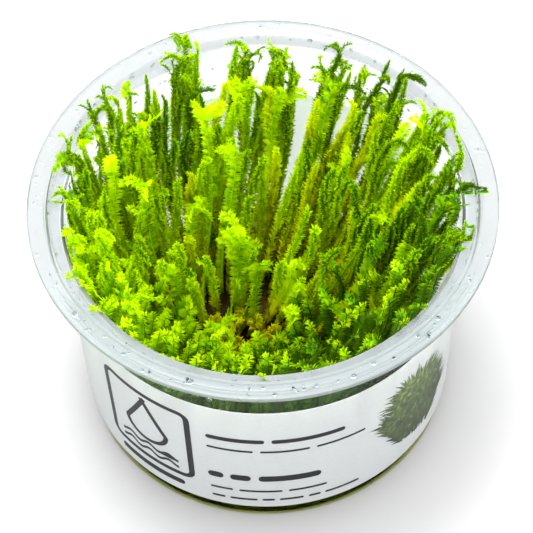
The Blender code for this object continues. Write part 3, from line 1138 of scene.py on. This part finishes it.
# The block at the back, once on the film and once on its reverse
BLOCK_LOW = (-0.0210, 0.0075)
BLOCK_HIGH = (-0.0095, 0.0170)
BLOCK_CORNER = 0.0008
orange = Finish("orange_ink")
mottle = orange.noise(orange.place(), 1200, 3)
orange_sheet = orange.principled(
    Base_Color=orange.mix(orange.between(mottle, 0.3, 0.7), rgb(255, 176, 10), rgb(255, 192, 30)),
    Roughness=orange.between(mottle, 0.3, 0.7, 0.4, 0.5),
)
orange_ink = orange.done(orange.blend(0.5, orange_sheet, orange.translucent((1.0, 0.50, 0.02, 1))))
half_round = 0.5 * math.tau * WALL_TOP_RADIUS
for name, lift in (("print_block", 0.00001), ("print_block_reverse", -FILM - 0.00004)):
    bm = bmesh.new()
    low = (half_round + BLOCK_LOW[0], BLOCK_LOW[1])
    panel(bm, low, (half_round + BLOCK_HIGH[0], BLOCK_HIGH[1]), BLOCK_CORNER)
    put_print(name, bm, orange_ink, lift)


# Water: drops that condensed on the flange and beads that cling to the lip of the mouth and the fogged wall.
# Each is a flattened bead of water that lies on the plastic, tinted grey-blue as painted shade that darkens
# it.
FLANGE_DROPS = 150
FLANGE_BAND = (0.0420, 0.0024)
LARGEST_DROP = 0.00062
LIP_DROPS = 110
LIP_SIZES = (0.00018, 0.00046)
WALL_DROPS = 170
WALL_BAND = (0.0422, 0.0532)
WALL_SIZES = (0.00012, 0.00055)
water = Finish("water")
still = water.noise(water.place(), 700, 1)
# the water's grey-blue tint is painted shade that darkens the drops
shade_tinted_water = water.done(water.principled(
    Base_Color=(0.78, 0.86, 0.86, 1), Roughness=water.between(still, 0.3, 0.7, 0.0, 0.04), IOR=1.20,
    Transmission_Weight=1.0,
))
wet = np.random.default_rng(9)


def drop_shape():
    """A drop of radius 1 that lies on the plane through its foot."""
    bm = bmesh.new()
    bmesh.ops.create_uvsphere(bm, u_segments=10, v_segments=7, radius=1)
    everything = bm.verts[:] + bm.edges[:] + bm.faces[:]
    cut = bmesh.ops.bisect_plane(
        bm, geom=everything, plane_co=(0, 0, -0.25), plane_no=(0, 0, 1), clear_inner=True
    )["geom_cut"]
    bmesh.ops.contextual_create(bm, geom=[part for part in cut if isinstance(part, bmesh.types.BMEdge)])
    bmesh.ops.translate(bm, vec=(0, 0, 0.25), verts=bm.verts[:])
    bmesh.ops.triangulate(bm, faces=bm.faces[:])
    bmesh.ops.recalc_face_normals(bm, faces=bm.faces[:])
    return corners_and_faces(bm)


drop_points, drop_faces = drop_shape()


def round_the_cup(angle, radius, height):
    return np.array([radius * math.cos(angle), radius * math.sin(angle), height])


def put_drops(name, drops):
    """One mesh of many drops, each given by its foot, the way it stands out, its radius and its height."""
    points, faces = [], []
    for foot, out, radius, swell in drops:
        turn = np.array(Vector(out).to_track_quat("Z", "Y").to_matrix())
        wide = radius * wet.uniform(0.85, 1.2)
        shape = drop_points * (wide, radius * wet.uniform(0.85, 1.2), radius * swell)
        faces.append(drop_faces + len(drop_points) * len(points))
        points.append(shape @ turn.T + foot + 0.00001 * np.array(Vector(out).normalized()))
    mesh = bpy.data.meshes.new(name)
    mesh.from_pydata(np.concatenate(points), [], np.concatenate(faces))
    mesh.materials.append(shade_tinted_water)
    mesh.shade_smooth()
    settle(name, mesh)


drops = []
for count in range(FLANGE_DROPS):
    angle = wet.uniform(0, math.tau) if count % 3 else wet.normal(-math.tau / 4, 0.9)
    radius = FLANGE_BAND[0] + FLANGE_BAND[1] * wet.beta(1.6, 1.6)
    size = min(LARGEST_DROP, 0.00012 + wet.exponential(0.00013))
    drops.append((round_the_cup(angle, radius, CUP_HEIGHT), (0, 0, 1), size, 0.6))
put_drops("drops_flange", drops)

drops = []
for count in range(LIP_DROPS):
    angle = wet.uniform(0, math.tau)
    part = wet.uniform(0.35, 0.95)
    height = LEDGE + 0.0002 + (CUP_HEIGHT - LEDGE - 0.0003) * part
    foot = round_the_cup(angle, LIP_FOOT + 0.0005 * part, height)
    drops.append((foot, (-math.cos(angle), -math.sin(angle), 0.25), wet.uniform(*LIP_SIZES), 0.8))
put_drops("drops_lip", drops)

drops = []
for count in range(WALL_DROPS):
    angle = wet.uniform(0, math.tau)
    height = wet.uniform(*WALL_BAND)
    foot = round_the_cup(angle, wall_radius(height) - WALL, height)
    drops.append((foot, (-math.cos(angle), -math.sin(angle), 0), wet.uniform(*WALL_SIZES), 0.5))
put_drops("drops_wall", drops)


# The studio: a plain pale floor in white surroundings, a wide soft light overhead to the left, and the camera
# at the height and angle of the photograph.
FLOOR_REACH = 1.5
SURROUND_LIGHT = 2.6
LIGHT_PLACE = Vector((-0.10, 0.14, 0.90))
LIGHT_AIM = Vector((0, 0, 0.04))
LIGHT_SIZE = 0.40
LIGHT_POWER = 8
# The camera fitted to the cup: focal length and width of the photograph in pixels, its place, and its angles
FOCAL_PIXELS = 3000
PHOTO_WIDTH = 533
SENSOR = 36
CAMERA_PLACE = (0, -0.3409, 0.5145)
YAW = 0.001
PITCH = 0.953
TILT = -0.031

floor_finish = Finish("studio_floor")
paper = floor_finish.noise(floor_finish.place(), 40, 2)
floor_material = floor_finish.done(floor_finish.principled(
    Base_Color=floor_finish.mix(paper, (0.38, 0.38, 0.38, 1), (0.40, 0.40, 0.40, 1)), Roughness=0.8,
))
bm = bmesh.new()
bmesh.ops.create_grid(bm, x_segments=8, y_segments=8, size=FLOOR_REACH)
mesh = bpy.data.meshes.new("studio_floor")
bm.to_mesh(mesh)
bm.free()
mesh.materials.append(floor_material)
floor = bpy.data.objects.new("studio_floor", mesh)
bpy.context.scene.collection.objects.link(floor)
floor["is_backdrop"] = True

world = bpy.data.worlds.new("studio")
world.use_nodes = True
surround = world.node_tree.nodes["Background"].inputs
surround["Color"].default_value = (1, 1, 1, 1)
surround["Strength"].default_value = SURROUND_LIGHT
bpy.context.scene.world = world

light_data = bpy.data.lights.new("overhead", "AREA")
light_data.shape = "DISK"
light_data.size = LIGHT_SIZE
light_data.energy = LIGHT_POWER
light = bpy.data.objects.new("overhead", light_data)
light.location = LIGHT_PLACE
light.rotation_mode = "QUATERNION"
light.rotation_quaternion = (LIGHT_AIM - LIGHT_PLACE).to_track_quat("-Z", "Y")
bpy.context.scene.collection.objects.link(light)

camera_data = bpy.data.cameras.new("camera")
camera_data.lens = FOCAL_PIXELS / PHOTO_WIDTH * SENSOR
camera_data.sensor_width = SENSOR
camera_data.clip_start = 0.01
camera_data.clip_end = 10
camera = bpy.data.objects.new("camera", camera_data)
forward = Vector((math.sin(YAW) * math.cos(PITCH), math.cos(YAW) * math.cos(PITCH), -math.sin(PITCH)))
level = Vector((math.cos(YAW), -math.sin(YAW), 0))
upward = level.cross(forward)
right = level * math.cos(TILT) + upward * math.sin(TILT)
upward = upward * math.cos(TILT) - level * math.sin(TILT)
turned_to_view = Matrix((right, upward, -forward)).transposed().to_4x4()
camera.matrix_world = Matrix.Translation(CAMERA_PLACE) @ turned_to_view
bpy.context.scene.collection.objects.link(camera)
bpy.context.scene.camera = camera
bpy.context.scene.view_settings.view_transform = "Standard"

low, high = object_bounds()
